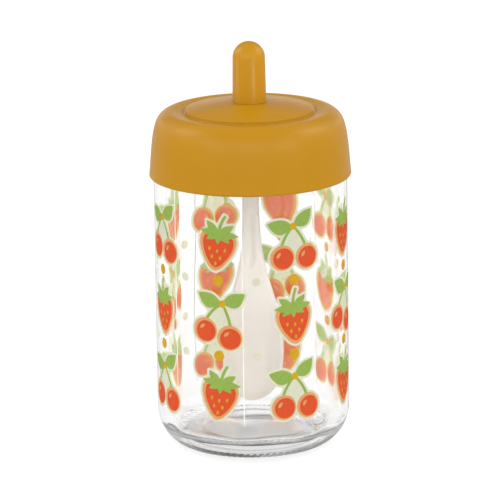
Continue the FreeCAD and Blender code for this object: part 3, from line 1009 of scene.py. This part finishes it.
def soft_light(name, at, to, wide, high, power, only=None, hidden=False):
    d = bpy.data.lights.new(name, "AREA")
    d.shape = "RECTANGLE"
    d.size, d.size_y, d.energy = wide, high, power
    ob = bpy.data.objects.new(name, d)
    scene.collection.objects.link(ob)
    ob.location = at
    ob.rotation_mode = "QUATERNION"
    ob.rotation_quaternion = (Vector(to) - Vector(at)).to_track_quat("-Z", "Y")
    ob.visible_camera = False
    if hidden:
        ob.visible_glossy = ob.visible_transmission = False
    if only is not None:
        ob.light_linking.receiver_collection = only
    return ob


# the boxes spare the white spoon, which the room's light alone shows with its shading
spared = bpy.data.collections.new("spoon_spared")
spared.objects.link(bpy.data.objects["long_spoon"])
for member in spared.collection_objects:
    member.light_linking.link_state = "EXCLUDE"
soft_light("box_front", (0.0, -1.75, 0.62), (0, 0, 0.12), 1.3, 0.6, 8.0, spared)
soft_light("box_front_right", (1.15, -1.15, 0.62), (0, 0, 0.12), 1.0, 0.6, 6.0, spared)
soft_light("box_front_left", (-1.15, -1.15, 0.62), (0, 0, 0.12), 1.0, 0.6, 6.0, spared)
soft_light("box_left", (-1.15, 0.10, 0.95), (0, 0, 0.12), 0.8, 0.8, 9.0, spared)
soft_light("box_right", (1.15, 0.10, 0.95), (0, 0, 0.12), 0.8, 0.8, 9.0, spared)

# a faint fill beside the spoon where it hangs in the glass
spoon_only = bpy.data.collections.new("spoon_light")
spoon_only.objects.link(bpy.data.objects["long_spoon"])
fill = soft_light("spoon_fill", (0.015, -0.029, 0.068), (0, 0, 0.062), 0.014, 0.034, 0.0026, spoon_only, hidden=True)
fill.data.color = (0.92, 0.97, 1.0)

# two narrow strips that put the soft upright lights on the knob
knob_only = bpy.data.collections.new("knob_light")
knob_only.objects.link(bpy.data.objects["grip_knob"])
soft_light("strip_left", (-0.50, 0.02, 0.06), (0, 0, 0.157), 0.10, 0.12, 0.24, knob_only)
soft_light("strip_right", (0.257, -0.43, 0.06), (0, 0, 0.157), 0.08, 0.12, 0.52, knob_only)


def build_flag():
    """A dark card behind the object, seen only in its reflections and through the glass."""
    me = bpy.data.meshes.new("flag")
    me.from_pydata([(-0.9, 1.2, 0.40), (0.9, 1.2, 0.40), (0.9, 1.2, 1.45), (-0.9, 1.2, 1.45)], [], [(0, 1, 2, 3)])
    n = Nodes("flag_cloth")
    n.set(Specular_IOR_Level=0.1)
    n.colour(n.mixed(n.spread(n.noise(30, 2), 0.3, 0.7, 0, 1), (0.17, 0.17, 0.17), (0.21, 0.21, 0.21)))
    n.rough(n.spread(n.noise(40, 2), 0.3, 0.7, 0.8, 0.9))
    me.materials.append(n.mat)
    ob = bpy.data.objects.new("flag", me)
    scene.collection.objects.link(ob)
    ob.visible_camera = ob.visible_diffuse = ob.visible_shadow = ob.visible_volume_scatter = False


build_flag()

# ===================================================================== camera
EL, ROLL, DIST, FOCAL_PX = 0.248, 0.0138, 1.655, 4000.5
OFF_X, OFF_Y = 1.26, 9.21            # where the aim point lies from the picture's middle, in pixels

cam_data = bpy.data.cameras.new("camera")
cam = bpy.data.objects.new("camera", cam_data)
scene.collection.objects.link(cam)
scene.camera = cam
cam_data.sensor_width = 36.0
cam_data.lens = 36.0 * FOCAL_PX / 500.0
cam_data.clip_start, cam_data.clip_end = 0.05, 40.0
target = Vector((0.0, 0.0, 0.085))
back = Vector((0.0, -math.cos(EL), math.sin(EL)))
cam.location = target + back * DIST
cam.rotation_mode = "QUATERNION"
turn = (-back).to_track_quat("-Z", "Y") @ Quaternion((0, 0, 1), -ROLL)
right, up = turn @ Vector((1, 0, 0)), turn @ Vector((0, 1, 0))
aim = target - right * (OFF_X / FOCAL_PX * DIST) - up * (OFF_Y / FOCAL_PX * DIST)
cam.rotation_quaternion = (aim - cam.location).to_track_quat("-Z", "Y") @ Quaternion((0, 0, 1), -ROLL)

scene.view_settings.view_transform = "Standard"
scene.view_settings.look = "None"
scene.view_settings.exposure = 0.0
scene.view_settings.gamma = 1.0
scene.cycles.max_bounces = 40
scene.cycles.transmission_bounces = 32
scene.cycles.glossy_bounces = 32
scene.cycles.diffuse_bounces = 5
scene.cycles.transparent_max_bounces = 16
